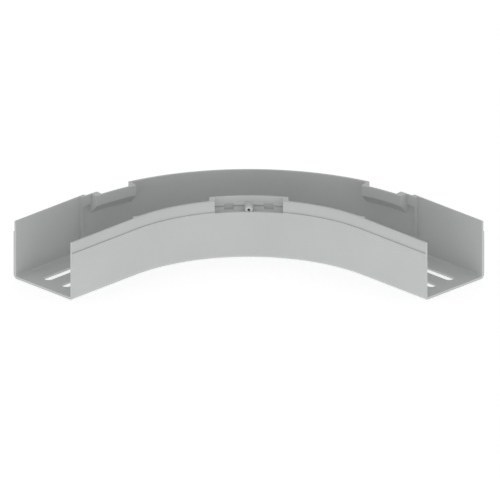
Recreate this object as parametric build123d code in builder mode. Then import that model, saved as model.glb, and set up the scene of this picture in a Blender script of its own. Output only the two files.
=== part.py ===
from build123d import *
from math import asin, cos, degrees, radians, sin, sqrt
import os

# Flat right-angle bend for a plastic cable tray, moulded in one piece and open on top.
# The plain end of a straight tray slides into each leg, and a separate cover grips the rims.
# Lengths are in millimetres. The origin is at the middle of the bounding square, on the base.

# Channel section
height = 60.6
inside_width = 75.0
wall = 3.2
floor_thickness = 2.5
outer_corner_radius = 4.3
inner_corner_radius = 1.8

# Rim on top of each wall, set back from the wall's outer face for the cover's flange
rim_thickness = 2.0
rim_height = 11.4
rim_easing = 0.4

# Plan: two straight sockets joined by a quarter turn about one centre
turn_angle = 90.0
inside_radius = 153.6
leg_length = 88.5

# Stop at the root of each socket, which the tray's end meets
stop_depth = 3.0
stop_ramp_length = 8.0
turn_step = 0.7

# Two slots in the floor of each socket
slot_width = 9.2
slot_spacing = 24.4
slot_end_margin = 15.0

# Pockets behind the rims that take the cover's catches
pocket_depth = 10.6
lip_drop = 0.8

# Pockets of the outer wall, one in each half of the turn, as lengths along their back
side_pocket_start = 19.9
side_pocket_length = 38.2
entry_cheek = 7.8
far_cheek = 1.6
cheek_fillet = 2.0
lead_start = 5.7

# Pocket in the middle of the inner wall, with straight sides
middle_pocket_width = 66.4
middle_cheek = 5.2

# Ridge that the cover's catch hooks under, broken by two shallow recesses
ridge_depth = 1.2
ridge_height = 2.5
ridge_lift = 0.7
recess_width = 9.4
recess_height = 5.9
recess_drop = 3.2
recess_depth = 0.4
recess_offset = 19.5

# Boss with a pilot hole for the cover's screw, thicker at its root and eased at its free end
boss_radius = 3.9
boss_root_radius = 4.9
boss_easing = 0.7
boss_rise = 1.0
pilot_radius = 1.5
pilot_depth = 10.0

# Excess of a cut past the face that it opens
cut_margin = 1.0

# Radii about the turn's centre and levels that follow from the sizes above
rebate = wall - rim_thickness
outer_width = inside_width + 2 * wall
outside_radius = inside_radius + outer_width
inner_bore_radius = inside_radius + wall
outer_bore_radius = outside_radius - wall
middle_radius = inside_radius + outer_width / 2
ledge_height = height - rim_height
pocket_foot = height - pocket_depth + rim_thickness * (sqrt(2) - 1)
ridge_foot = pocket_foot + ridge_lift
boss_level = ledge_height + boss_rise
boss_length = pocket_depth + rim_thickness / 2
turn_centre = (leg_length - outside_radius) / 2
half_turn = turn_angle / 2

turn_axis = Axis((turn_centre, turn_centre, 0), (0, 0, 1))
mirror_plane = Plane(origin=(turn_centre, turn_centre, 0), x_dir=(1, 1, 0), z_dir=(1, -1, 0))


def plan(level):
    """Level plane whose origin is on the turn's axis."""
    return Plane(origin=(turn_centre, turn_centre, level))


def diagonal_plan(level):
    """Level plane whose origin is on the turn's axis and whose x runs out through the turn's middle."""
    return Plane(origin=(turn_centre, turn_centre, level), x_dir=(1, 1, 0), z_dir=(0, 0, 1))


def radial_plane(angle):
    """Upright plane through the turn's axis: x runs out along the radius and y runs up."""
    turn = radians(angle)
    return Plane(
        origin=(turn_centre, turn_centre, 0),
        x_dir=(cos(turn), sin(turn), 0),
        z_dir=(sin(turn), -cos(turn), 0),
    )


def polar(radius, angle):
    """Point of the plan at a radius and an angle from the first socket's root."""
    return (radius * cos(radians(angle)), radius * sin(radians(angle)))


def arc_angle(length, radius):
    """Angle of the turn that an arc of this length takes up at this radius."""
    return degrees(length / radius)


def outside_outline():
    """Outside of the channel: the body with rounded lower corners, and the narrower rims."""
    with Locations((inside_radius, 0)):
        Rectangle(outer_width, ledge_height, align=(Align.MIN, Align.MIN))
    fillet(vertices().group_by(Axis.Y)[0], outer_corner_radius)
    with Locations((inside_radius + rebate, outer_corner_radius)):
        Rectangle(outer_width - 2 * rebate, height - outer_corner_radius, align=(Align.MIN, Align.MIN))


def bore_outline(step):
    """Inside of the channel, narrower by a step at each wall, with rounded lower corners."""
    with Locations((inner_bore_radius + step, floor_thickness)):
        Rectangle(inside_width - 2 * step, height, align=(Align.MIN, Align.MIN))
    fillet(vertices().group_by(Axis.Y)[0], inner_corner_radius)


def bracket_outline(wall_radius, inward, reach):
    """Section of a bracket that stands off a wall: upright face, and an underside at 45 degrees.

    Inward is -1 on the outer wall and 1 on the inner wall, the way from the wall into the channel.
    """
    root = wall_radius - inward * cut_margin
    face = wall_radius + inward * reach
    foot = height - pocket_depth
    Polygon(
        (root, height),
        (face, height),
        (face, foot),
        (wall_radius, foot - reach),
        (root, foot - reach),
        align=None,
    )


def hollow_outline(wall_radius, inward):
    """Section of a pocket's hollow: open above and outside, one thickness inside its bracket."""
    reach = pocket_depth - rim_thickness
    back = wall_radius + inward * reach
    outside = wall_radius - inward * (wall + cut_margin)
    Polygon(
        (outside, height + cut_margin),
        (back, height + cut_margin),
        (back, pocket_foot),
        (wall_radius, pocket_foot - reach),
        (wall_radius, ledge_height - lip_drop),
        (outside, ledge_height - lip_drop),
        align=None,
    )


# Angles of the outer wall's pocket, from the first socket's root
side_back_radius = outer_bore_radius + rim_thickness - pocket_depth
side_start_angle = arc_angle(side_pocket_start, side_back_radius)
side_angle = arc_angle(side_pocket_length, side_back_radius)
entry_cheek_angle = arc_angle(entry_cheek, side_back_radius)
far_cheek_angle = arc_angle(far_cheek, side_back_radius)
lead_angle = arc_angle(lead_start, side_back_radius)
inner_ramp_angle = arc_angle(stop_ramp_length, inner_bore_radius)
outer_ramp_angle = arc_angle(stop_ramp_length, outer_bore_radius)

# Middle of the inner wall's pocket
middle_bracket_width = middle_pocket_width + 2 * middle_cheek
middle_reach_angle = degrees(asin((middle_bracket_width / 2 + cut_margin) / inside_radius))
middle_back_radius = inner_bore_radius - rim_thickness + pocket_depth
middle_start = radial_plane(half_turn - middle_reach_angle)

with BuildPart() as middle_bracket:
    with BuildSketch(middle_start):
        bracket_outline(inner_bore_radius, 1, pocket_depth)
    revolve(axis=turn_axis, revolution_arc=2 * middle_reach_angle)
    with BuildSketch(diagonal_plan(0)):
        with Locations((middle_radius, 0)):
            Rectangle(2 * outer_width, middle_bracket_width)
    extrude(amount=height, mode=Mode.INTERSECT)

with BuildPart() as middle_hollow:
    with BuildSketch(middle_start):
        hollow_outline(inner_bore_radius, 1)
    revolve(axis=turn_axis, revolution_arc=2 * middle_reach_angle)
    with BuildSketch(diagonal_plan(0)):
        with Locations((middle_radius, 0)):
            Rectangle(2 * outer_width, middle_pocket_width)
    extrude(amount=height + cut_margin, mode=Mode.INTERSECT)

with BuildPart() as catch_ridge:
    with BuildSketch(middle_start):
        Polygon(
            (middle_back_radius + rim_thickness / 2, ridge_foot),
            (middle_back_radius + rim_thickness / 2, ridge_foot + ridge_height),
            (middle_back_radius, ridge_foot + ridge_height),
            (middle_back_radius - ridge_depth, ridge_foot + ridge_height - ridge_depth),
            (middle_back_radius - ridge_depth, ridge_foot),
            align=None,
        )
    revolve(axis=turn_axis, revolution_arc=2 * middle_reach_angle)
    with BuildSketch(diagonal_plan(0)):
        with Locations((middle_radius, 0)):
            Rectangle(2 * outer_width, middle_pocket_width + middle_cheek)
    extrude(amount=height, mode=Mode.INTERSECT)

with BuildPart() as bend_body:
    # First half: one socket and half of the turn
    with BuildSketch(radial_plane(0)) as outside:
        outside_outline()
    extrude(amount=leg_length)
    revolve(outside.sketch, axis=turn_axis, revolution_arc=half_turn)

    with BuildSketch(radial_plane(0)):
        bore_outline(0)
    extrude(amount=leg_length, mode=Mode.SUBTRACT)
    with BuildSketch(radial_plane(0)):
        bore_outline(turn_step)
    revolve(axis=turn_axis, revolution_arc=half_turn, mode=Mode.SUBTRACT)

    # Stops: a shoulder at the socket's root that slopes back into each wall of the turn
    with BuildSketch(plan(floor_thickness / 2)):
        Polygon(
            (inner_bore_radius - cut_margin, 0),
            (inner_bore_radius + stop_depth, 0),
            polar(inner_bore_radius + turn_step, inner_ramp_angle),
            polar(inner_bore_radius - cut_margin, inner_ramp_angle),
            align=None,
        )
        Polygon(
            (outer_bore_radius + cut_margin, 0),
            (outer_bore_radius - stop_depth, 0),
            polar(outer_bore_radius - turn_step, outer_ramp_angle),
            polar(outer_bore_radius + cut_margin, outer_ramp_angle),
            align=None,
        )
    extrude(amount=height - floor_thickness / 2)

    # Outer wall's pocket: the rim turns in to a bracket and leaves a hollow behind it
    with BuildSketch(radial_plane(0)):
        bracket_outline(outer_bore_radius, -1, stop_depth)
    revolve(axis=turn_axis, revolution_arc=side_start_angle)
    with BuildSketch(radial_plane(side_start_angle - entry_cheek_angle)):
        bracket_outline(outer_bore_radius, -1, pocket_depth)
    revolve(axis=turn_axis, revolution_arc=entry_cheek_angle + side_angle + far_cheek_angle)
    cheek_root = radial_plane(side_start_angle + side_angle + far_cheek_angle).from_local_coords(
        (outer_bore_radius - turn_step, height, 0)
    )
    fillet(edges().filter_by(Axis.Z).sort_by_distance(cheek_root)[0], cheek_fillet)
    with BuildSketch(radial_plane(side_start_angle)):
        hollow_outline(outer_bore_radius, -1)
    revolve(axis=turn_axis, revolution_arc=side_angle, mode=Mode.SUBTRACT)
    with BuildSketch(radial_plane(lead_angle)):
        with Locations((outer_bore_radius + rim_thickness - stop_depth, ledge_height)):
            Rectangle(stop_depth + cut_margin, rim_height + cut_margin, align=(Align.MIN, Align.MIN))
    revolve(axis=turn_axis, revolution_arc=side_start_angle - lead_angle, mode=Mode.SUBTRACT)

    # Slots along the socket's floor
    with BuildSketch(plan(0)):
        with Locations((middle_radius, -leg_length / 2)):
            with GridLocations(slot_spacing, 0, 2, 1):
                SlotOverall(leg_length - 2 * slot_end_margin, slot_width, rotation=90)
    extrude(amount=floor_thickness, mode=Mode.SUBTRACT)

    # Second half
    mirror(about=mirror_plane)

    # Inner wall's pocket, with its ridge and recesses
    add(middle_bracket.part)
    for side in (-1, 1):
        cheek_root = diagonal_plan(height).from_local_coords(
            (inner_bore_radius + turn_step, side * middle_bracket_width / 2, 0)
        )
        fillet(edges().filter_by(Axis.Z).sort_by_distance(cheek_root)[0], cheek_fillet)
    add(middle_hollow.part, mode=Mode.SUBTRACT)
    add(catch_ridge.part)
    with BuildSketch(diagonal_plan(pocket_foot - recess_drop)):
        with Locations((middle_back_radius, 0)):
            with GridLocations(0, 2 * recess_offset, 1, 2):
                Rectangle(pocket_depth, recess_width)
        Circle(middle_back_radius + recess_depth, mode=Mode.INTERSECT)
    extrude(amount=recess_height, mode=Mode.SUBTRACT)

    # Boss from the pocket's back, bored from its free end
    mouth = turn_centre + (inside_radius + rebate) / sqrt(2)
    boss_centre = (mouth, mouth, boss_level)
    with BuildSketch(Plane(origin=boss_centre, x_dir=(1, 1, 0), z_dir=(1, -1, 0))):
        Polygon(
            (0, 0),
            (0, boss_radius - boss_easing),
            (boss_easing, boss_radius),
            (boss_length, boss_root_radius),
            (boss_length, 0),
            align=None,
        )
    revolve(axis=Axis(boss_centre, (1, 1, 0)))
    with BuildSketch(Plane(origin=boss_centre, x_dir=(1, -1, 0), z_dir=(1, 1, 0))):
        Circle(pilot_radius)
    extrude(amount=pilot_depth, mode=Mode.SUBTRACT)

    # Eased top edges
    chamfer(edges().group_by(Axis.Z)[-1], rim_easing)

bend_body.part.label = "bend_body"

os.makedirs("parts", exist_ok=True)
export_step(bend_body.part, "parts/bend_body.step")
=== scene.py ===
import math

import bmesh
import bpy
from mathutils import Matrix, Vector
from mathutils.kdtree import KDTree


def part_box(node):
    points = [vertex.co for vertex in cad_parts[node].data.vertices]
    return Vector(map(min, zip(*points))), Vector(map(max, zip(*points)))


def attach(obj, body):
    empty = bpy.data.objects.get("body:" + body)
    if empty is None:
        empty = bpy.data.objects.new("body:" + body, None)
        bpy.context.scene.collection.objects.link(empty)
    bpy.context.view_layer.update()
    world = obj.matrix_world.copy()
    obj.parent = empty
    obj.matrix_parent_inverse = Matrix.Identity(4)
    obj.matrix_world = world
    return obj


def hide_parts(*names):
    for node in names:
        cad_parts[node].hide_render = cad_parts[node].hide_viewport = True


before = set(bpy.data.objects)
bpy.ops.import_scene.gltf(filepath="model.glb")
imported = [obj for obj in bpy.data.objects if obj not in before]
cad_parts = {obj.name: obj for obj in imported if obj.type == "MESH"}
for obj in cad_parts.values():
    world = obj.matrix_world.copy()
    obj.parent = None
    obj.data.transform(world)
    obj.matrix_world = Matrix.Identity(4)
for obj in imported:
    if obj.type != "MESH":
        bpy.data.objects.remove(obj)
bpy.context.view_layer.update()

bl_info = {
    "name": "Cable tray bend",
    "version": (1, 0, 0),
    "blender": (4, 5, 0),
    "location": "View3D > Sidebar > Tray bend",
    "description": "A flat right-angle bend of a plastic cable tray, moulded in one piece",
    "category": "Object",
}

# The box of the CAD, in metres
CAD_LOW, CAD_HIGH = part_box("bend_body")
CAD_SIDE = CAD_HIGH.x - CAD_LOW.x

MM = 0.001
QUARTER_TURN = math.pi / 2
COS_45 = math.sqrt(0.5)
STILL = (0.0, 0.0, 0.0)  # a station without steps, or a point that follows none

# Directions along the corner's diagonal, across it to the view's right, and up
ALONG = Vector((1.0, 1.0, 0.0)).normalized()
ACROSS = Vector((1.0, -1.0, 0.0)).normalized()
UPWARD = Vector((0.0, 0.0, 1.0))

# Facets
FACET = 0.3 * MM  # part of its radius for which a rounded corner has one facet
FEWEST_FACETS = 3  # on a rounded corner
FILLET_FACETS = 8  # on the fillet beside a cheek
LEG_FACETS = 12  # along a socket
SLOT_CORNER_POINTS = 11  # on each rounded corner of a slot
ROUND_SIDES = 64  # of the boss and its pilot hole
ACROSS_PITCH = 4.0 * MM  # longest way between two stations across the corner

# Small distances and tolerances
JUMP = 2e-5  # between the two stations of a sudden step, in metres or radians
CLEAR = 1.0 * MM  # that a station keeps from a corner, or an edge from a fold
CUT = 1.0 * MM  # that a cutter reaches past the face that it opens
SINK = 0.1 * MM  # that the middle bracket's fillets end inside the wall
SLOT_END_SHARE = 0.49999  # radius of a slot's end, as a share of its width
ROUND_OFF = 1e-6  # slack for a count of facets or for the turn's middle
MERGE = 1.2e-5  # distance within which doubles are merged
FINE_MERGE = MERGE / 10  # the same after a tool has joined or cut
SHORT_EDGE = 6e-5  # distance within which points are merged before the rounding
TINY = 1e-10  # area of a triangle that can't be seen
SHARP = math.radians(28.0)  # angle above which an edge is sharp, and rounded if it is an outer one
FACES_WITH = 0.3  # least cosine between a triangle and its face
SHADES_WITH = 0.2  # least cosine between a triangle and the shading at its corners

# The plastic: the noise's usual range, then each pattern's spread, scale and detail
NOISE_LOW, NOISE_HIGH = 0.3, 0.7
TINT_SPREAD, TINT_SCALE, TINT_DETAIL = 0.025, 14.0, 3.0
SHEEN_SPREAD, SHEEN_SCALE, SHEEN_DETAIL = 0.05, 60.0, 4.0
SPECK_SPREAD, GRAIN_DETAIL, GRAIN_ROUGHNESS = 0.015, 2.0, 0.6
RELIEF_STRENGTH = 0.35
PLASTIC_IOR = 1.46
PLASTIC_SPECULAR = 0.5

# The stage
FLOOR_GAP = 0.05 * MM  # between the base and the floor
CAMERA_REACH = 20.0  # how far the camera sees, in metres
SKY_START = 0.1  # upward part of a direction at which the light starts to change


def length(name, description, default, subtype="DISTANCE"):
    """A size in metres that a user may change."""
    return bpy.props.FloatProperty(
        name=name,
        description=description,
        default=default,
        min=0.0,
        subtype=subtype,
        unit="LENGTH",
        precision=5,
    )


# Sizes that a user may change

class TrayBendChannelSettings(bpy.types.PropertyGroup):
    """The channel's section and its way round the turn."""

    height: length("Height", "Height of the walls above the base", CAD_HIGH.z - CAD_LOW.z)
    leg: length("Leg length", "Length of the straight socket at each end", 88.5 * MM)
    inside_width: length("Inside width", "Width between the walls of a socket", 75.0 * MM)
    wall: length("Wall", "Thickness of the walls below the rim", 3.2 * MM)
    floor: length("Floor", "Thickness of the floor", 2.5 * MM)
    outer_corner: length("Outer corner", "Radius of the lower outside corners", 4.3 * MM)
    inner_corner: length("Inner corner", "Radius between floor and wall", 1.8 * MM)
    rim: length("Rim", "Thickness of the set-back rim", 2.0 * MM)
    rim_height: length("Rim height", "Height of the set-back rim", 11.4 * MM)
    stop: length("Stop", "How far the stop at a socket's root stands out", 3.0 * MM)
    stop_ramp: length("Stop ramp", "Length of the slope behind the stop", 8.0 * MM)
    turn_step: length("Turn step", "How much nearer each wall is in the turn", 0.7 * MM)
    station_angle: bpy.props.FloatProperty(
        name="Facet angle",
        description="Angle of the turn that one facet covers",
        default=math.radians(1.25),
        min=math.radians(0.25),
        subtype="ANGLE",
        unit="ROTATION",
    )


class TrayBendSlotSettings(bpy.types.PropertyGroup):
    """The slots in each socket's floor."""

    width: length("Width", "Width of a slot", 9.2 * MM)
    spacing: length("Spacing", "Distance between the slots of a pair", 24.4 * MM)
    end_margin: length("End margin", "Distance from a slot to the socket's ends", 15.0 * MM)


class TrayBendPocketSettings(bpy.types.PropertyGroup):
    """The pockets that take the cover's catches."""

    depth: length("Depth", "Depth of a pocket from the rim's outside", 10.6 * MM)
    lip_drop: length("Lip drop", "How far the wall's top drops in a pocket", 0.8 * MM)
    cheek_fillet: length("Cheek fillet", "Radius between a cheek and the wall", 2.0 * MM)
    side_start: length("Side start", "Distance of the side pocket from the socket's root", 19.9 * MM)
    side_length: length("Side length", "Length of the side pocket's back", 38.2 * MM)
    entry_cheek: length("Entry cheek", "Thickness of the cheek nearer to the socket", 7.8 * MM)
    far_cheek: length("Far cheek", "Thickness of the other cheek", 1.6 * MM)
    lead_start: length("Lead start", "Distance of the set-back rim from the socket's root", 5.7 * MM)
    middle_width: length("Middle width", "Width of the pocket in the inner wall", 66.4 * MM)
    middle_cheek: length("Middle cheek", "Thickness of the cheeks beside it", 5.2 * MM)
    ridge_depth: length("Ridge depth", "How far the catch ridge stands out", 1.2 * MM)
    ridge_height: length("Ridge height", "Height of the catch ridge", 2.5 * MM)
    ridge_lift: length("Ridge lift", "Height of the ridge above the pocket's foot", 0.7 * MM)
    recess_width: length("Recess width", "Width of a recess through the ridge", 9.4 * MM)
    recess_height: length("Recess height", "Height of a recess", 5.9 * MM)
    recess_drop: length("Recess drop", "How far a recess reaches below the pocket's foot", 3.2 * MM)
    recess_depth: length("Recess depth", "How deep a recess is cut into the pocket's back", 0.4 * MM)
    recess_offset: length("Recess offset", "Distance of a recess from the middle", 19.5 * MM)
    boss_radius: length("Boss radius", "Radius of the screw boss at its free end", 3.9 * MM)
    boss_root: length("Boss root", "Radius of the screw boss at its root", 4.9 * MM)
    boss_easing: length("Boss easing", "Bevel round the boss's free end", 0.7 * MM)
    boss_rise: length("Boss rise", "Height of the boss's middle above the ledge", 1.0 * MM)
    pilot_radius: length("Pilot radius", "Radius of the pilot hole", 1.5 * MM)
    pilot_depth: length("Pilot depth", "Depth of the pilot hole", 10.0 * MM)


class TrayBendFinishSettings(bpy.types.PropertyGroup):
    """Rounded edges and the look of the plastic."""

    rim_rounding: length("Rim rounding", "Rounding of the rims' top edges", 0.45 * MM)
    edge_rounding: length("Edge rounding", "Rounding of the other edges", 0.2 * MM)
    rounding_steps: bpy.props.IntProperty(
        name="Rounding steps", description="Facets across a rounded edge", default=3, min=1, max=8
    )
    colour: bpy.props.FloatVectorProperty(
        name="Colour",
        description="Colour of the light grey plastic",
        subtype="COLOR",
        size=3,
        min=0.0,
        max=1.0,
        default=(0.600, 0.612, 0.611),
    )
    roughness: bpy.props.FloatProperty(
        name="Roughness",
        description="Roughness of the matte surface",
        default=0.45,
        min=0.0,
        max=1.0,
        subtype="FACTOR",
    )
    grain_size: length("Grain size", "Size of the moulded surface's grain", 0.35 * MM)
    grain_depth: length("Grain depth", "Depth of the moulded surface's grain", 0.012 * MM)


class TrayBendStageSettings(bpy.types.PropertyGroup):
    """Camera, floor and light."""

    elevation: bpy.props.FloatProperty(
        name="Elevation",
        description="Angle of the camera above the horizon",
        default=math.radians(22.68),
        subtype="ANGLE",
        unit="ROTATION",
    )
    picture_width: length("Picture width", "Width that the parallel view covers", 485.9 * MM)
    aim_right: length("Aim right", "Sideways offset of the view from the corner's diagonal", 1.07 * MM)
    aim_up: length("Aim up", "Height of the view's middle over the turn's centre, in the picture", 67.15 * MM)
    distance: length("Distance", "Distance of the camera", 1.6)
    floor_size: length("Floor size", "Side of the square floor", 8.0)
    floor_colour: bpy.props.FloatVectorProperty(
        name="Floor colour",
        description="Colour of the pale floor",
        subtype="COLOR",
        size=3,
        min=0.0,
        max=1.0,
        default=(0.95, 0.95, 0.95),
    )
    floor_glow: bpy.props.FloatProperty(
        name="Floor glow", description="Light that the floor gives off itself", default=0.42, min=0.0
    )
    sky_side: bpy.props.FloatProperty(
        name="Side light",
        description="Brightness of the surroundings near the horizon",
        default=0.88,
        min=0.0,
    )
    sky_top: bpy.props.FloatProperty(
        name="Top light", description="Brightness of the surroundings overhead", default=0.76, min=0.0
    )
    sky_below: bpy.props.FloatProperty(
        name="Light below",
        description="Further brightness of the surroundings under the horizon",
        default=0.4,
        min=0.0,
    )


# Node trees

def add_input(tree, name, kind, default=None):
    """Adds a named input to a node tree."""
    socket = tree.interface.new_socket(name, in_out="INPUT", socket_type=kind)
    if default is not None:
        socket.default_value = default


def math_node(tree, operation, first, second=None):
    """Math node whose operands are sockets or numbers. Returns its output."""
    node = tree.nodes.new("ShaderNodeMath")
    node.operation = operation
    for socket, value in zip(node.inputs, (first, second)):
        if value is None:
            continue
        if isinstance(value, bpy.types.NodeSocket):
            tree.links.new(value, socket)
        else:
            socket.default_value = value
    return node.outputs[0]


def attribute_parts(tree, name):
    """The three numbers of a named vector attribute."""
    read = tree.nodes.new("GeometryNodeInputNamedAttribute")
    read.data_type = "FLOAT_VECTOR"
    read.inputs["Name"].default_value = name
    split = tree.nodes.new("ShaderNodeSeparateXYZ")
    tree.links.new(read.outputs["Attribute"], split.inputs[0])
    return split.outputs


def as_curve(tree, geometry):
    """A loop or line of edges as a curve, with its attributes."""
    node = tree.nodes.new("GeometryNodeMeshToCurve")
    tree.links.new(geometry, node.inputs["Mesh"])
    return node.outputs["Curve"]


def close_tree(tree, geometry, material):
    """Ends a tree with real geometry that has its material."""
    realize = tree.nodes.new("GeometryNodeRealizeInstances")
    paint = tree.nodes.new("GeometryNodeSetMaterial")
    end = tree.nodes.new("NodeGroupOutput")
    tree.interface.new_socket("Geometry", in_out="OUTPUT", socket_type="NodeSocketGeometry")
    tree.links.new(geometry, realize.inputs[0])
    tree.links.new(realize.outputs[0], paint.inputs["Geometry"])
    tree.links.new(material, paint.inputs["Material"])
    tree.links.new(paint.outputs[0], end.inputs[0])


def sweep_tree():
    """Tree that sweeps a section along stations round the turn, or across its corner.

    The object holds the stations as a line of points. Their Z is a distance before the turn, the
    angle within it and a distance past it, or across the corner the distance from its diagonal.
    A section's X is the radius from the turn's centre and its Y the height. Each station has its
    steps (inner wall, foot of a bracket, reach of a bracket) and more steps (drop of the bracket's
    foot, set-back of the rim), and each point of the section says how far it follows them.
    """
    tree = bpy.data.node_groups.new("Sweep round the turn", "GeometryNodeTree")
    add_input(tree, "Stations", "NodeSocketGeometry")
    add_input(tree, "Section", "NodeSocketObject")
    add_input(tree, "Centre", "NodeSocketVector")
    add_input(tree, "Turn angle", "NodeSocketFloat", QUARTER_TURN)
    add_input(tree, "Across the corner", "NodeSocketBool", False)
    add_input(tree, "Material", "NodeSocketMaterial")
    start = tree.nodes.new("NodeGroupInput").outputs
    section = tree.nodes.new("GeometryNodeObjectInfo")
    tree.links.new(start["Section"], section.inputs["Object"])
    sweep = tree.nodes.new("GeometryNodeCurveToMesh")
    sweep.inputs["Fill Caps"].default_value = True
    tree.links.new(as_curve(tree, start["Stations"]), sweep.inputs["Curve"])
    tree.links.new(as_curve(tree, section.outputs["Geometry"]), sweep.inputs["Profile Curve"])

    here = tree.nodes.new("ShaderNodeSeparateXYZ")
    place = tree.nodes.new("GeometryNodeInputPosition")
    tree.links.new(place.outputs[0], here.inputs[0])
    steps = attribute_parts(tree, "steps")
    more = attribute_parts(tree, "more_steps")
    follows = attribute_parts(tree, "follows")
    sinks = attribute_parts(tree, "sinks")
    radius = here.outputs["X"]
    for axis in "XYZ":
        radius = math_node(tree, "ADD", radius, math_node(tree, "MULTIPLY", steps[axis], follows[axis]))
    radius = math_node(tree, "SUBTRACT", radius, math_node(tree, "MULTIPLY", more["Y"], sinks["Z"]))
    overhang = math_node(tree, "SUBTRACT", steps["Z"], steps["Y"])
    drop = math_node(tree, "MULTIPLY", more["X"], sinks["X"])
    fall = math_node(tree, "ADD", drop, math_node(tree, "MULTIPLY", overhang, sinks["Y"]))
    height = math_node(tree, "SUBTRACT", here.outputs["Y"], fall)
    station = here.outputs["Z"]

    # Round the turn
    angle = math_node(tree, "MAXIMUM", math_node(tree, "MINIMUM", station, start["Turn angle"]), 0.0)
    run = math_node(tree, "SUBTRACT", station, angle)
    cosine = math_node(tree, "COSINE", angle)
    sine = math_node(tree, "SINE", angle)
    out_x = math_node(tree, "MULTIPLY", radius, cosine)
    out_y = math_node(tree, "MULTIPLY", radius, sine)
    round_x = math_node(tree, "SUBTRACT", out_x, math_node(tree, "MULTIPLY", run, sine))
    round_y = math_node(tree, "ADD", out_y, math_node(tree, "MULTIPLY", run, cosine))

    # Across the corner
    square = math_node(tree, "MULTIPLY", radius, radius)
    squares = math_node(tree, "SUBTRACT", square, math_node(tree, "MULTIPLY", station, station))
    out = math_node(tree, "SQRT", squares)
    across_x = math_node(tree, "MULTIPLY", math_node(tree, "SUBTRACT", out, station), COS_45)
    across_y = math_node(tree, "MULTIPLY", math_node(tree, "ADD", out, station), COS_45)

    choice = tree.nodes.new("GeometryNodeSwitch")
    choice.input_type = "VECTOR"
    tree.links.new(start["Across the corner"], choice.inputs["Switch"])
    for case, x, y in (("False", round_x, round_y), ("True", across_x, across_y)):
        point = tree.nodes.new("ShaderNodeCombineXYZ")
        for socket, value in zip(point.inputs, (x, y, height)):
            tree.links.new(value, socket)
        tree.links.new(point.outputs[0], choice.inputs[case])
    shift = tree.nodes.new("ShaderNodeVectorMath")
    shift.operation = "ADD"
    tree.links.new(choice.outputs[0], shift.inputs[0])
    tree.links.new(start["Centre"], shift.inputs[1])
    move = tree.nodes.new("GeometryNodeSetPosition")
    tree.links.new(sweep.outputs[0], move.inputs["Geometry"])
    tree.links.new(shift.outputs[0], move.inputs["Position"])
    close_tree(tree, move.outputs[0], start["Material"])
    return tree


def slot_tree():
    """Tree that sets a pair of long slot cutters side by side on each point of the object."""
    tree = bpy.data.node_groups.new("Pairs of floor slots", "GeometryNodeTree")
    add_input(tree, "Points", "NodeSocketGeometry")
    for name in ("Length", "Width", "Spacing", "Depth"):
        add_input(tree, name, "NodeSocketFloat", 10.0 * MM)
    add_input(tree, "Material", "NodeSocketMaterial")
    start = tree.nodes.new("NodeGroupInput").outputs
    outline = tree.nodes.new("GeometryNodeCurvePrimitiveQuadrilateral")
    tree.links.new(start["Width"], outline.inputs["Width"])
    tree.links.new(start["Length"], outline.inputs["Height"])
    ends = tree.nodes.new("GeometryNodeFilletCurve")
    ends.mode = "POLY"
    ends.inputs["Count"].default_value = SLOT_CORNER_POINTS
    ends.inputs["Limit Radius"].default_value = True
    tree.links.new(outline.outputs[0], ends.inputs["Curve"])
    radius = math_node(tree, "MULTIPLY", start["Width"], SLOT_END_SHARE)
    tree.links.new(radius, ends.inputs["Radius"])
    depth = tree.nodes.new("GeometryNodeCurvePrimitiveLine")
    for socket, sign in (("Start", -1.0), ("End", 1.0)):
        level = tree.nodes.new("ShaderNodeCombineXYZ")
        tree.links.new(math_node(tree, "MULTIPLY", start["Depth"], sign), level.inputs["Z"])
        tree.links.new(level.outputs[0], depth.inputs[socket])
    cutter = tree.nodes.new("GeometryNodeCurveToMesh")
    cutter.inputs["Fill Caps"].default_value = True
    tree.links.new(depth.outputs[0], cutter.inputs["Curve"])
    tree.links.new(ends.outputs[0], cutter.inputs["Profile Curve"])

    side = tree.nodes.new("ShaderNodeCombineXYZ")
    tree.links.new(start["Spacing"], side.inputs["X"])
    first = tree.nodes.new("ShaderNodeCombineXYZ")
    tree.links.new(math_node(tree, "MULTIPLY", start["Spacing"], -0.5), first.inputs["X"])
    row = tree.nodes.new("GeometryNodeMeshLine")
    row.inputs["Count"].default_value = 2
    tree.links.new(first.outputs[0], row.inputs["Start Location"])
    tree.links.new(side.outputs[0], row.inputs["Offset"])
    pair = tree.nodes.new("GeometryNodeInstanceOnPoints")
    tree.links.new(row.outputs[0], pair.inputs["Points"])
    tree.links.new(cutter.outputs[0], pair.inputs["Instance"])
    legs = tree.nodes.new("GeometryNodeInstanceOnPoints")
    turns = attribute_parts(tree, "facing")
    facing = tree.nodes.new("ShaderNodeCombineXYZ")
    tree.links.new(turns["Z"], facing.inputs["Z"])
    tree.links.new(start["Points"], legs.inputs["Points"])
    tree.links.new(pair.outputs[0], legs.inputs["Instance"])
    tree.links.new(facing.outputs[0], legs.inputs["Rotation"])
    close_tree(tree, legs.outputs[0], start["Material"])
    return tree


# Mesh helpers

def line_object(name, points, closed=False, **attributes):
    """Object with a line or loop of edges, and named vector attributes on its points."""
    mesh = bpy.data.meshes.new(name)
    count = len(points)
    edges = [(i, i + 1) for i in range(count - 1)]
    if closed:
        edges.append((count - 1, 0))
    mesh.from_pydata([tuple(p) for p in points], edges, [])
    for attribute, values in attributes.items():
        layer = mesh.attributes.new(attribute, "FLOAT_VECTOR", "POINT")
        layer.data.foreach_set("vector", [v for value in values for v in value])
    made = bpy.data.objects.new(name, mesh)
    bpy.context.scene.collection.objects.link(made)
    return made


def set_inputs(modifier, **values):
    """Sets a node modifier's inputs by their sockets' identifiers."""
    sockets = {s.name.lower().replace(" ", "_"): s for s in modifier.node_group.interface.items_tree}
    for name, value in values.items():
        modifier[sockets[name].identifier] = value


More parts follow.
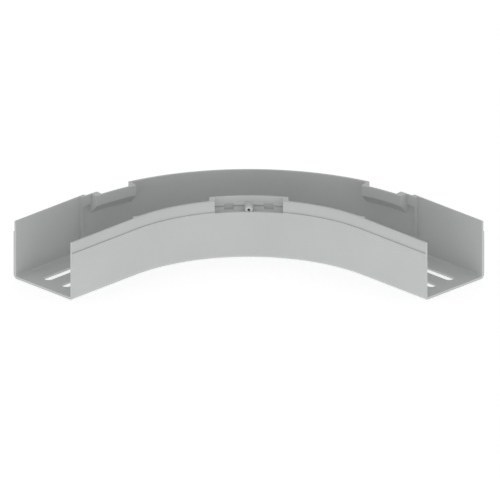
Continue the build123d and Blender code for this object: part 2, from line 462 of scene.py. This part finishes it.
def forget(*objects):
    """Removes helper objects."""
    for made in objects:
        bpy.data.objects.remove(made, do_unlink=True)


def tidy_mesh(mesh, merge=MERGE):
    """Merges doubles and turns the faces of a closed mesh outward."""
    work = bmesh.new()
    work.from_mesh(mesh)
    bmesh.ops.remove_doubles(work, verts=work.verts, dist=merge)
    bmesh.ops.dissolve_degenerate(work, edges=work.edges, dist=merge)
    bmesh.ops.recalc_face_normals(work, faces=work.faces)
    if work.calc_volume(signed=True) < 0:
        bmesh.ops.reverse_faces(work, faces=work.faces)
    work.to_mesh(mesh)
    work.free()


def make_plain(made, merge=MERGE):
    """Turns an object's modifiers into a plain mesh."""
    graph = bpy.context.evaluated_depsgraph_get()
    mesh = bpy.data.meshes.new_from_object(made.evaluated_get(graph))
    made.modifiers.clear()
    made.data = mesh
    tidy_mesh(mesh, merge)


def section_object(name, corners):
    """Closed section from (radius, height, rounding, follows, sinks) corners."""
    points, follows, sinks = [], [], []
    for i, (x, y, rounding, follow, sink) in enumerate(corners):
        here = Vector((x, y))
        arc = [here]
        if rounding > 0:
            before = (Vector(corners[i - 1][:2]) - here).normalized()
            after = (Vector(corners[(i + 1) % len(corners)][:2]) - here).normalized()
            centre = here + (before + after) * rounding
            steps = max(FEWEST_FACETS, round(rounding / FACET))
            turns = [QUARTER_TURN * k / steps for k in range(steps + 1)]
            arc = [centre - rounding * (after * math.cos(t) + before * math.sin(t)) for t in turns]
        points += [(p.x, p.y, 0.0) for p in arc]
        follows += [follow] * len(arc)
        sinks += [sink] * len(arc)
    return line_object(name, points, closed=True, follows=follows, sinks=sinks)


def plain_section(name, *corners):
    """Closed section whose points follow no step."""
    return section_object(name, [(x, y, 0.0, STILL, STILL) for x, y in corners])


def swept(name, section, stations, material, across=False):
    """Solid swept from a section through (station, steps, more steps) rows."""
    made = line_object(
        name,
        [(0.0, 0.0, row[0]) for row in stations],
        steps=[row[1] for row in stations],
        more_steps=[row[2] for row in stations],
    )
    nodes = made.modifiers.new("Sweep", "NODES")
    nodes.node_group = bpy.data.node_groups.get("Sweep round the turn") or sweep_tree()
    set_inputs(
        nodes,
        section=section,
        centre=turn_centre(),
        turn_angle=QUARTER_TURN,
        across_the_corner=across,
        material=material,
    )
    make_plain(made)
    forget(section)
    return made


def combine(body, tool, operation):
    """Joins a tool to the body or cuts it away, and removes the tool."""
    change = body.modifiers.new(operation, "BOOLEAN")
    change.operation = operation
    change.solver = "MANIFOLD"
    change.object = tool
    make_plain(body, FINE_MERGE)
    forget(tool)


def turned_object(name, foot, rings, material, sides=ROUND_SIDES):
    """Round solid about the corner's diagonal, from (distance, radius) rings that start at its foot."""
    points = []
    for out, radius in rings:
        for k in range(sides):
            turn = 2.0 * math.pi * k / sides
            round_axis = ACROSS * math.cos(turn) + UPWARD * math.sin(turn)
            points.append(foot + ALONG * out + round_axis * radius)
    faces = [tuple(range(sides)), tuple(range(len(points) - sides, len(points)))]
    for first in range(0, len(points) - sides, sides):
        for k in range(sides):
            beside = (k + 1) % sides
            faces.append((first + k, first + beside, first + sides + beside, first + sides + k))
    mesh = bpy.data.meshes.new(name)
    mesh.from_pydata(points, [], faces)
    mesh.materials.append(material)
    tidy_mesh(mesh)
    made = bpy.data.objects.new(name, mesh)
    bpy.context.scene.collection.objects.link(made)
    return made


# Layout of the turn

def turn_centre():
    """Centre of the turn, on the base."""
    size = bpy.context.scene.tray_bend_channel
    middle = (CAD_LOW + CAD_HIGH) / 2
    out = inside_radius() + size.inside_width + 2 * size.wall
    return Vector((middle.x + (size.leg - out) / 2, middle.y + (size.leg - out) / 2, CAD_LOW.z))


def inside_radius():
    """Radius of the turn's inner outside face, from the size of the CAD body."""
    size = bpy.context.scene.tray_bend_channel
    return CAD_SIDE - size.leg - size.inside_width - 2 * size.wall


def on_diagonal(radius, level):
    """Point on the corner's diagonal, at a radius from the turn's centre and a height above the base."""
    out = radius * COS_45
    centre = turn_centre()
    return Vector((centre.x + out, centre.y + out, centre.z + level))


def along_fillet(radius, k):
    """Distance along the wall from a cheek to point k of its fillet."""
    return radius * (1.0 - math.cos(QUARTER_TURN * k / FILLET_FACETS))


def fillet_step(step, radius, beyond):
    """Step of a cheek's fillet at a distance beyond the cheek, on a wall that has a step itself."""
    return step + radius - math.sqrt(max(0.0, radius**2 - (radius - beyond) ** 2))


def smooth_stations(start, end, pitch=ACROSS_PITCH):
    """Stations from start to end that are no more than a pitch apart."""
    count = max(1, math.ceil((end - start) / pitch - ROUND_OFF))
    return [start + (end - start) * k / count for k in range(count + 1)]


# Material

def moulded_plastic():
    """Matte light grey plastic with a fine moulded grain and faint flow tints."""
    finish = bpy.context.scene.tray_bend_finish
    material = bpy.data.materials.new("Moulded grey plastic")
    material.use_nodes = True
    tree = material.node_tree
    tree.nodes.clear()
    end = tree.nodes.new("ShaderNodeOutputMaterial")
    shader = tree.nodes.new("ShaderNodeBsdfPrincipled")
    tree.links.new(shader.outputs[0], end.inputs["Surface"])
    place = tree.nodes.new("ShaderNodeTexCoord").outputs["Object"]

    def noise(scale, detail, roughness=0.5):
        """Noise of this scale over the object."""
        node = tree.nodes.new("ShaderNodeTexNoise")
        node.inputs["Scale"].default_value = scale
        node.inputs["Detail"].default_value = detail
        node.inputs["Roughness"].default_value = roughness
        tree.links.new(place, node.inputs["Vector"])
        return node.outputs["Fac"]

    def spread(value, low, high):
        """Noise stretched from its usual range to another."""
        node = tree.nodes.new("ShaderNodeMapRange")
        node.inputs["From Min"].default_value = NOISE_LOW
        node.inputs["From Max"].default_value = NOISE_HIGH
        node.inputs["To Min"].default_value = low
        node.inputs["To Max"].default_value = high
        tree.links.new(value, node.inputs["Value"])
        return node.outputs["Result"]

    # Faint tints where the plastic flowed
    tints = tree.nodes.new("ShaderNodeMix")
    tints.data_type = "RGBA"
    colour = Vector(finish.colour)
    tints.inputs["A"].default_value = (*(colour * (1.0 - TINT_SPREAD)), 1.0)
    tints.inputs["B"].default_value = (*(colour * (1.0 + TINT_SPREAD)), 1.0)
    tree.links.new(spread(noise(TINT_SCALE, TINT_DETAIL), 0.0, 1.0), tints.inputs["Factor"])

    # Specks of the grain
    speck = tree.nodes.new("ShaderNodeMix")
    speck.data_type = "RGBA"
    speck.blend_type = "MULTIPLY"
    speck.inputs["Factor"].default_value = 1.0
    tree.links.new(tints.outputs["Result"], speck.inputs["A"])
    grain = noise(1.0 / finish.grain_size, GRAIN_DETAIL, GRAIN_ROUGHNESS)
    shade = tree.nodes.new("ShaderNodeCombineXYZ")
    for socket in shade.inputs:
        tree.links.new(spread(grain, 1.0 - SPECK_SPREAD, 1.0 + SPECK_SPREAD), socket)
    tree.links.new(shade.outputs[0], speck.inputs["B"])
    tree.links.new(speck.outputs["Result"], shader.inputs["Base Color"])

    # Sheen that varies a little, and the grain's relief
    low, high = finish.roughness - SHEEN_SPREAD, finish.roughness + SHEEN_SPREAD
    tree.links.new(spread(noise(SHEEN_SCALE, SHEEN_DETAIL), low, high), shader.inputs["Roughness"])
    relief = tree.nodes.new("ShaderNodeBump")
    relief.inputs["Strength"].default_value = RELIEF_STRENGTH
    relief.inputs["Distance"].default_value = finish.grain_depth
    tree.links.new(grain, relief.inputs["Height"])
    tree.links.new(relief.outputs[0], shader.inputs["Normal"])
    shader.inputs["IOR"].default_value = PLASTIC_IOR
    shader.inputs["Specular IOR Level"].default_value = PLASTIC_SPECULAR
    return material


# Operators

class OBJECT_OT_tray_bend_body(bpy.types.Operator):
    """Make the moulded bend: channel, sockets, rims, cover pockets, boss and slots"""

    bl_idname = "object.tray_bend_body"
    bl_label = "Moulded bend"

    def execute(self, context):
        scene = context.scene
        size, pocket, slots = scene.tray_bend_channel, scene.tray_bend_pockets, scene.tray_bend_slots
        plastic = moulded_plastic()
        body = self.channel(size, pocket, plastic)
        self.side_pockets(body, size, pocket, plastic)
        self.middle_pocket(body, size, pocket, plastic)
        self.floor_slots(body, size, slots, plastic)
        self.round_edges(body, scene.tray_bend_finish)
        body.name = body.data.name = "bend_body_moulded"
        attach(body, "root")
        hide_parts("bend_body")
        return {"FINISHED"}

    def side_layout(self, size, pocket):
        """Angles of an outer wall's pocket from the socket's root, by name."""
        back = inside_radius() + size.wall + size.inside_width + size.rim - pocket.depth
        start = pocket.side_start / back
        return {
            "start": start,
            "end": start + pocket.side_length / back,
            "entry": start - pocket.entry_cheek / back,
            "far": start + (pocket.side_length + pocket.far_cheek) / back,
            "lead": pocket.lead_start / back,
        }

    def channel(self, size, pocket, plastic):
        """Floor, walls, rims, stops and the outer wall's brackets, in one sweep."""
        near = inside_radius()
        near_bore = near + size.wall
        far_bore = near_bore + size.inside_width
        far = far_bore + size.wall
        set_back = size.wall - size.rim
        ledge = size.height - size.rim_height
        foot = size.height - pocket.depth
        easing = bpy.context.scene.tray_bend_finish.rim_rounding

        # What a point follows: a station's steps inward or outward, and for the rim its set-back
        inner, low, reach = (1.0, 0.0, 0.0), (0.0, -1.0, 0.0), (0.0, 0.0, -1.0)
        rim_set = (0.0, 0.0, 1.0)
        section = section_object(
            "Channel section",
            [
                (near, 0.0, size.outer_corner, STILL, STILL),
                (far, 0.0, size.outer_corner, STILL, STILL),
                (far, ledge, 0.0, STILL, STILL),
                (far - set_back, ledge, 0.0, STILL, rim_set),
                (far - set_back, size.height, easing, STILL, rim_set),
                (far_bore, size.height, easing, reach, STILL),
                (far_bore, foot, 0.0, reach, (1.0, 0.0, 0.0)),
                (far_bore, foot, 0.0, low, (1.0, 1.0, 0.0)),
                (far_bore, size.floor, size.inner_corner, low, STILL),
                (near_bore, size.floor, size.inner_corner, inner, STILL),
                (near_bore, size.height, easing, inner, STILL),
                (near + set_back, size.height, easing, STILL, STILL),
                (near + set_back, ledge, 0.0, STILL, STILL),
                (near, ledge, 0.0, STILL, STILL),
            ],
        )

        layout = self.side_layout(size, pocket)
        near_ramp = size.stop_ramp / near_bore
        far_ramp = size.stop_ramp / far_bore
        fillet = pocket.cheek_fillet
        fillet_end = layout["far"] + fillet / (far_bore - size.turn_step)
        lead_end = (layout["start"] + layout["end"]) / 2

        def ramp(angle, end):
            """Step of a wall on the slope behind its stop, and past the slope."""
            share = min(1.0, angle / end)
            return size.stop + (size.turn_step - size.stop) * share

        def steps_at(angle):
            """Wall steps within the first half of the turn."""
            foot_step = ramp(angle, far_ramp)
            steps = [ramp(angle, near_ramp), foot_step, foot_step]
            more = [0.0, 0.0, 0.0]
            if angle < layout["entry"]:
                steps[2] = size.stop
            elif angle < layout["far"]:
                steps[2] = pocket.depth
            elif angle < fillet_end:
                beyond = (angle - layout["far"]) * (far_bore - size.turn_step)
                steps[2] = fillet_step(size.turn_step, fillet, beyond)
                more[0] = pocket.depth - steps[2]
            if layout["lead"] < angle < lead_end:
                more[1] = size.stop
            return tuple(steps), tuple(more)

        # Stations: two where a step is sudden and one elsewhere. The even ones keep clear of corners
        jumps = {0.0, layout["entry"], layout["far"], layout["lead"], lead_end}
        corners = jumps | {layout["start"], layout["end"], fillet_end}
        marks = {k * size.station_angle for k in range(int(QUARTER_TURN / 2 / size.station_angle) + 1)}
        marks |= {near_ramp, far_ramp, QUARTER_TURN / 2}
        marks = {mark for mark in marks if all(abs(mark - corner) > CLEAR / far for corner in corners)}
        sides = (pocket.middle_width / 2, pocket.middle_width / 2 + pocket.middle_cheek)
        for side in sides:
            before = QUARTER_TURN / 2 - math.asin((side + CLEAR) / near)
            after = QUARTER_TURN / 2 - math.asin((side - CLEAR) / (near_bore + size.turn_step))
            marks = {mark for mark in marks if not before < mark < after}
        marks.add(QUARTER_TURN / 2 - math.asin(sum(sides) / 2 / near_bore))
        run_out = [along_fillet(fillet, k) for k in range(2, FILLET_FACETS + 1)]
        marks |= {layout["far"] + along / (far_bore - size.turn_step) for along in run_out}
        half = []
        for mark in sorted(marks | jumps):
            if mark in jumps:
                if mark > 0.0:
                    half.append((mark - JUMP / 2, *steps_at(mark - JUMP)))
                half.append((mark + JUMP / 2, *steps_at(mark + JUMP)))
            else:
                half.append((mark, *steps_at(mark)))
        straight = smooth_stations(-size.leg, 0.0, size.leg / LEG_FACETS)
        leg = [(place, STILL, STILL) for place in straight[:-1]] + [(-JUMP * far, STILL, STILL)]
        first = leg + half
        second = [
            (QUARTER_TURN - place, steps, more)
            for place, steps, more in reversed(first)
            if place < QUARTER_TURN / 2 - ROUND_OFF
        ]
        return swept("Channel", section, first + second, plastic)

    def side_pockets(self, body, size, pocket, plastic):
        """Hollows behind the outer wall's brackets."""
        layout = self.side_layout(size, pocket)
        far_bore = inside_radius() + size.wall + size.inside_width
        out = far_bore + size.wall + CUT
        corners = self.hollow(far_bore, out, size, pocket, -1)
        first = (layout["start"], layout["end"])
        second = (QUARTER_TURN - layout["end"], QUARTER_TURN - layout["start"])
        for start, end in (first, second):
            stations = [(a, STILL, STILL) for a in smooth_stations(start, end, size.station_angle)]
            tool = swept("Side hollow", plain_section("Hollow section", *corners), stations, plastic)
            combine(body, tool, "DIFFERENCE")

    def hollow(self, bore, out, size, pocket, inward):
        """Corners of a hollow's section, which leaves its bracket as thick as the rim."""
        reach = pocket.depth - size.rim
        back = bore + inward * reach
        foot = size.height - pocket.depth + size.rim * (math.sqrt(2.0) - 1.0)
        lip = size.height - size.rim_height - pocket.lip_drop
        top = size.height + CUT
        return [(out, top), (back, top), (back, foot), (bore, foot - reach), (bore, lip), (out, lip)]

    def middle_pocket(self, body, size, pocket, plastic):
        """Bracket, hollow, ridge, recesses and screw boss in the middle of the inner wall."""
        near = inside_radius()
        bore = near + size.wall
        foot = size.height - pocket.depth
        half_inside = pocket.middle_width / 2
        half_outside = half_inside + pocket.middle_cheek
        root = bore - size.rim / 2
        back = bore + pocket.depth - size.rim
        fillet = pocket.cheek_fillet
        easing = bpy.context.scene.tray_bend_finish.rim_rounding

        # Bracket that runs out at its sides in fillets
        reach, low = (0.0, 0.0, 1.0), (0.0, 1.0, 0.0)
        section = section_object(
            "Middle bracket section",
            [
                (root, size.height, 0.0, STILL, STILL),
                (bore, size.height, easing, reach, STILL),
                (bore, foot, 0.0, reach, (1.0, 0.0, 0.0)),
                (bore, foot, 0.0, low, (1.0, 1.0, 0.0)),
                (root, foot - pocket.depth, 0.0, STILL, STILL),
            ],
        )
        full = (0.0, 0.0, pocket.depth)
        stations = [(place, full, STILL) for place in smooth_stations(0.0, half_outside)]
        for k in range(FILLET_FACETS + 1):
            beyond = along_fillet(fillet, k)
            out = fillet_step(size.turn_step, fillet, beyond)
            if k == FILLET_FACETS:
                out -= SINK
            place = half_outside + beyond + (JUMP if k == 0 else 0.0)
            stations.append((place, (0.0, 0.0, out), (pocket.depth - out, 0.0, 0.0)))
        mirrored = [(-place, steps, more) for place, steps, more in reversed(stations[1:])]
        tool = swept("Middle bracket", section, mirrored + stations, plastic, across=True)
        combine(body, tool, "UNION")

        # Hollow behind it
        corners = self.hollow(bore, near - CUT, size, pocket, 1)
        section = plain_section("Hollow section", *corners)
        stations = [(place, STILL, STILL) for place in smooth_stations(-half_inside, half_inside)]
        tool = swept("Middle hollow", section, stations, plastic, across=True)
        combine(body, tool, "DIFFERENCE")

        # Catch ridge on the bracket's back
        ridge_foot = corners[2][1] + pocket.ridge_lift
        ridge_top = ridge_foot + pocket.ridge_height
        deep = back + size.rim / 2
        ridge = plain_section(
            "Ridge section",
            (deep, ridge_foot),
            (deep, ridge_top),
            (back, ridge_top),
            (back - pocket.ridge_depth, ridge_top - pocket.ridge_depth),
            (back - pocket.ridge_depth, ridge_foot),
        )
        half_ridge = half_inside + pocket.middle_cheek / 2
        stations = [(place, STILL, STILL) for place in smooth_stations(-half_ridge, half_ridge)]
        combine(body, swept("Ridge", ridge, stations, plastic, across=True), "UNION")

        # Recesses that break it
        low_edge = corners[2][1] - pocket.recess_drop
        high_edge = low_edge + pocket.recess_height
        deep = back + pocket.recess_depth
        shallow = back - pocket.depth / 2
        for side in (-1, 1):
            recess = plain_section(
                "Recess section",
                (shallow, low_edge),
                (shallow, high_edge),
                (deep, high_edge),
                (deep, low_edge),
            )
            near_side = side * pocket.recess_offset - pocket.recess_width / 2
            marks = smooth_stations(near_side, near_side + pocket.recess_width)
            stations = [(place, STILL, STILL) for place in marks]
            combine(body, swept("Recess", recess, stations, plastic, across=True), "DIFFERENCE")

        # Screw boss and its pilot hole
        mouth = near + size.wall - size.rim
        middle = on_diagonal(mouth, size.height - size.rim_height + pocket.boss_rise)
        boss = [
            (0.0, pocket.boss_radius - pocket.boss_easing),
            (pocket.boss_easing, pocket.boss_radius),
            (pocket.depth + size.rim / 2, pocket.boss_root),
        ]
        combine(body, turned_object("Boss", middle, boss, plastic), "UNION")
        pilot = [(-CUT, pocket.pilot_radius), (pocket.pilot_depth, pocket.pilot_radius)]
        combine(body, turned_object("Pilot", middle, pilot, plastic), "DIFFERENCE")

    def floor_slots(self, body, size, slots, plastic):
        """Two slots in each socket's floor."""
        middle = inside_radius() + size.wall + size.inside_width / 2
        centre = turn_centre()
        points = [
            (centre.x + middle, centre.y - size.leg / 2, CAD_LOW.z),
            (centre.x - size.leg / 2, centre.y + middle, CAD_LOW.z),
        ]
        tool = line_object("Slots", points, facing=[(0.0, 0.0, 0.0), (0.0, 0.0, QUARTER_TURN)])
        nodes = tool.modifiers.new("Slots", "NODES")
        nodes.node_group = slot_tree()
        set_inputs(
            nodes,
            length=size.leg - 2 * slots.end_margin,
            width=slots.width,
            spacing=slots.spacing,
            depth=size.floor * 2,
            material=plastic,
        )
        make_plain(tool)
        combine(body, tool, "DIFFERENCE")

    def round_edges(self, body, finish):
        """Rounds the outer edges that the sections leave sharp, but none whose rounding would fold."""
        mesh = body.data
        work = bmesh.new()
        work.from_mesh(mesh)
        bmesh.ops.remove_doubles(work, verts=work.verts, dist=SHORT_EDGE)
        bmesh.ops.dissolve_degenerate(work, edges=work.edges, dist=MERGE)
        sharp = [edge for edge in work.edges if edge.calc_face_angle(0.0) > SHARP]
        for edge in sharp:
            edge.smooth = False
        for face in work.faces:
            face.smooth = True
        work.edges.index_update()
        outer = {e.index: [v.co.copy() for v in e.verts] for e in sharp if e.is_convex}
        work.to_mesh(mesh)
        work.free()

        rounding = body.modifiers.new("Rounded edges", "BEVEL")
        rounding.width = finish.edge_rounding
        rounding.segments = finish.rounding_steps
        rounding.limit_method = "WEIGHT"
        rounding.use_clamp_overlap = False
        rounding.miter_outer = "MITER_SHARP"
        rounding.harden_normals = True
        mesh.attributes.new("bevel_weight_edge", "FLOAT", "EDGE")
        finished, folds = None, True
        while folds:
            weights = [float(i in outer) for i in range(len(mesh.edges))]
            mesh.attributes["bevel_weight_edge"].data.foreach_set("value", weights)
            mesh.update()
            graph = bpy.context.evaluated_depsgraph_get()
            finished = bpy.data.meshes.new_from_object(body.evaluated_get(graph))
            folds = self.folds(finished) if outer else []
            outer = self.clear_of(folds, outer)
        body.modifiers.clear()
        body.data = finished

    def folds(self, mesh):
        """Corners of the triangles that face or shade the wrong way."""
        mesh.calc_loop_triangles()
        normals = mesh.corner_normals
        places = []
        for part in mesh.loop_triangles:
            shades = [normals[i].vector for i in part.loops]
            turned = part.normal.dot(mesh.polygons[part.polygon_index].normal) < FACES_WITH
            misshaded = min(part.normal.dot(shade) for shade in shades) < SHADES_WITH
            if part.area > TINY and (turned or misshaded):
                places += [mesh.vertices[i].co.copy() for i in part.vertices]
        return places

    def clear_of(self, folds, outer):
        """Those of the edges that keep clear of every fold."""
        if not folds:
            return outer
        tree = KDTree(len(folds))
        for i, place in enumerate(folds):
            tree.insert(place, i)
        tree.balance()
        kept = {}
        for i, (start, end) in outer.items():
            steps = math.ceil((end - start).length / CLEAR)
            places = [start.lerp(end, k / steps) for k in range(steps + 1)]
            if min(tree.find(place)[2] for place in places) > CLEAR:
                kept[i] = (start, end)
        return kept


class SCENE_OT_tray_bend_stage(bpy.types.Operator):
    """Set up the camera, the pale floor and the soft light"""

    bl_idname = "scene.tray_bend_stage"
    bl_label = "Stage"

    def execute(self, context):
        scene = context.scene
        stage = scene.tray_bend_stage
        self.camera(scene, stage)
        self.floor(stage)
        self.sky(scene, stage)
        scene.view_settings.view_transform = "Standard"
        return {"FINISHED"}

    def camera(self, scene, stage):
        """Parallel view along the corner's diagonal."""
        look = ALONG * math.cos(stage.elevation) - UPWARD * math.sin(stage.elevation)
        up = ALONG * math.sin(stage.elevation) + UPWARD * math.cos(stage.elevation)
        data = bpy.data.cameras.new("Camera")
        data.type = "ORTHO"
        data.ortho_scale = stage.picture_width
        data.clip_end = CAMERA_REACH
        made = bpy.data.objects.new("Camera", data)
        aim = turn_centre() + ACROSS * stage.aim_right + up * stage.aim_up
        facing = Matrix((ACROSS, up, -look)).transposed().to_4x4()
        made.matrix_world = Matrix.Translation(aim - look * stage.distance) @ facing
        scene.collection.objects.link(made)
        scene.camera = made

    def floor(self, stage):
        """Pale floor under the part."""
        half = stage.floor_size / 2
        mesh = bpy.data.meshes.new("Floor")
        level = CAD_LOW.z - FLOOR_GAP
        corners = [(-half, -half, level), (half, -half, level), (half, half, level), (-half, half, level)]
        mesh.from_pydata(corners, [], [(0, 1, 2, 3)])
        made = bpy.data.objects.new("Floor", mesh)
        bpy.context.scene.collection.objects.link(made)
        material = bpy.data.materials.new("Pale floor")
        material.use_nodes = True
        shader = material.node_tree.nodes["Principled BSDF"]
        shader.inputs["Base Color"].default_value = (*stage.floor_colour, 1.0)
        shader.inputs["Roughness"].default_value = 1.0
        shader.inputs["Specular IOR Level"].default_value = 0.0
        shader.inputs["Emission Color"].default_value = (1.0, 1.0, 1.0, 1.0)
        shader.inputs["Emission Strength"].default_value = stage.floor_glow
        mesh.materials.append(material)

    def sky(self, scene, stage):
        """Soft light all round, a little weaker from overhead, and as pale as the floor under the horizon."""
        world = bpy.data.worlds.new("Soft surroundings")
        scene.world = world
        world.use_nodes = True
        tree = world.node_tree
        tree.nodes.clear()
        end = tree.nodes.new("ShaderNodeOutputWorld")
        light = tree.nodes.new("ShaderNodeBackground")
        tree.links.new(light.outputs[0], end.inputs["Surface"])
        direction = tree.nodes.new("ShaderNodeTexCoord")
        split = tree.nodes.new("ShaderNodeSeparateXYZ")
        tree.links.new(direction.outputs["Generated"], split.inputs[0])
        shade = tree.nodes.new("ShaderNodeMapRange")
        shade.inputs["From Min"].default_value = SKY_START
        shade.inputs["From Max"].default_value = 1.0
        shade.inputs["To Min"].default_value = stage.sky_side
        shade.inputs["To Max"].default_value = stage.sky_top
        tree.links.new(split.outputs["Z"], shade.inputs["Value"])
        below = math_node(tree, "LESS_THAN", split.outputs["Z"], 0.0)
        lift = math_node(tree, "MULTIPLY", below, stage.sky_below)
        tree.links.new(math_node(tree, "ADD", shade.outputs["Result"], lift), light.inputs["Strength"])


class VIEW3D_PT_tray_bend(bpy.types.Panel):
    """Sizes, finish and stage of the tray bend"""

    bl_label = "Tray bend"
    bl_idname = "VIEW3D_PT_tray_bend"
    bl_space_type = "VIEW_3D"
    bl_region_type = "UI"
    bl_category = "Tray bend"

    def draw(self, context):
        for group, operator in PANEL_ROWS:
            settings = getattr(context.scene, group)
            for name in settings.__annotations__:
                self.layout.prop(settings, name)
            if operator:
                self.layout.operator(operator)


SETTINGS = {
    "tray_bend_channel": TrayBendChannelSettings,
    "tray_bend_slots": TrayBendSlotSettings,
    "tray_bend_pockets": TrayBendPocketSettings,
    "tray_bend_finish": TrayBendFinishSettings,
    "tray_bend_stage": TrayBendStageSettings,
}
PANEL_ROWS = (
    ("tray_bend_channel", None),
    ("tray_bend_slots", None),
    ("tray_bend_pockets", None),
    ("tray_bend_finish", "object.tray_bend_body"),
    ("tray_bend_stage", "scene.tray_bend_stage"),
)
CLASSES = (*SETTINGS.values(), OBJECT_OT_tray_bend_body, SCENE_OT_tray_bend_stage, VIEW3D_PT_tray_bend)


def register():
    """Adds the settings, the operators and the panel."""
    for made in CLASSES:
        bpy.utils.register_class(made)
    for name, made in SETTINGS.items():
        setattr(bpy.types.Scene, name, bpy.props.PointerProperty(type=made))


def unregister():
    """Takes away what register() adds."""
    for name in SETTINGS:
        delattr(bpy.types.Scene, name)
    for made in reversed(CLASSES):
        bpy.utils.unregister_class(made)


def main():
    """Builds the part and its stage."""
    register()
    bpy.ops.object.tray_bend_body()
    bpy.ops.scene.tray_bend_stage()


if __name__ == "__main__":
    main()
